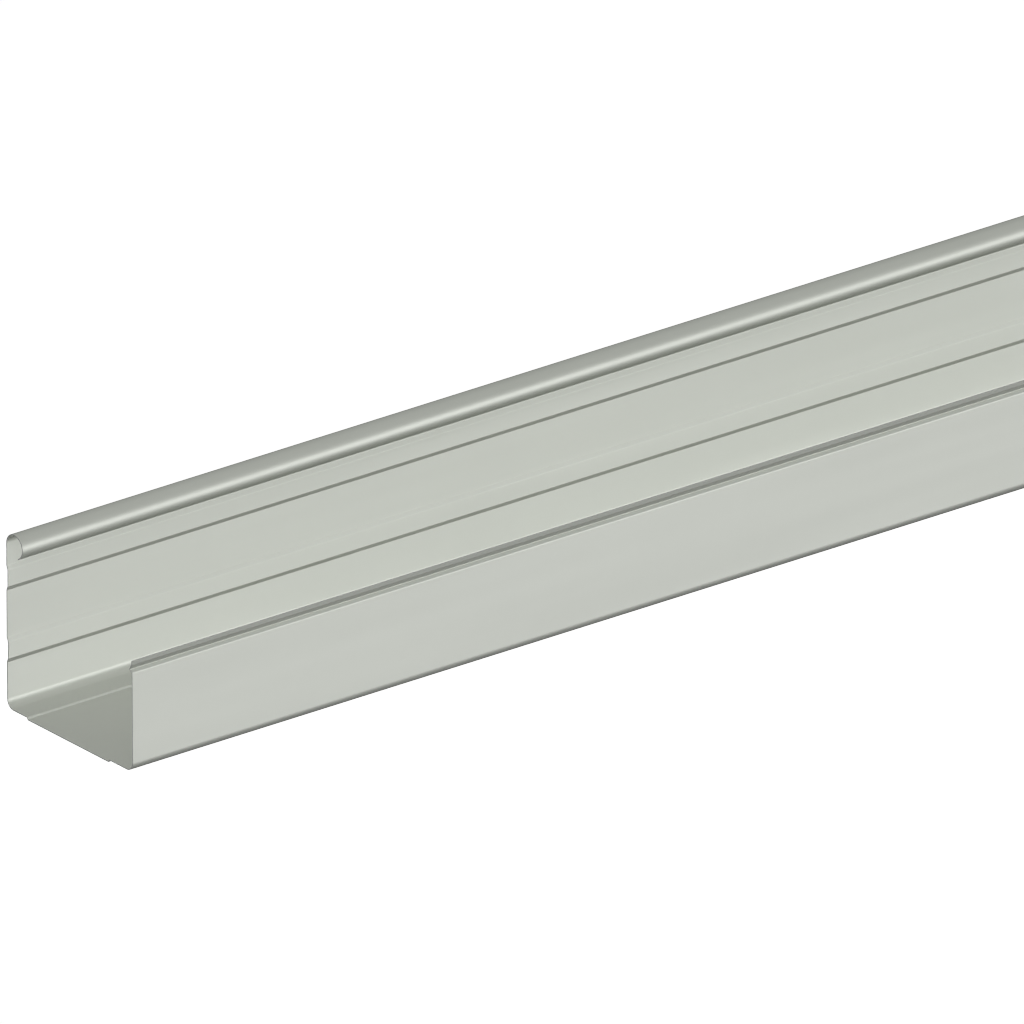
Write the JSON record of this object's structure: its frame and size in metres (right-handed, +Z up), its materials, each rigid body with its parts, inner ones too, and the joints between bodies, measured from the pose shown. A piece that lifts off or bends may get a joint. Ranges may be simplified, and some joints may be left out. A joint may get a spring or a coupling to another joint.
{
  "type": "gutter section",
  "caption": "Length of high-front steel rain gutter with a rolled top bead, pressed front bands and a low grooved back wall, to carry roof water along the eaves.",
  "frame": {"origin": "middle of the length and width, on the underside of the sole", "axes": "+X along the length, +Y towards the high front wall, -Y towards the low back wall that stands against the fascia, +Z up"},
  "size_m": [2.4, 0.125, 0.1185],
  "materials": {
    "painted_steel": "satin factory coating, pale warm grey"
  },
  "bodies": {
    "root": {"gutter_section": "painted_steel"}
  },
  "joints": []
}
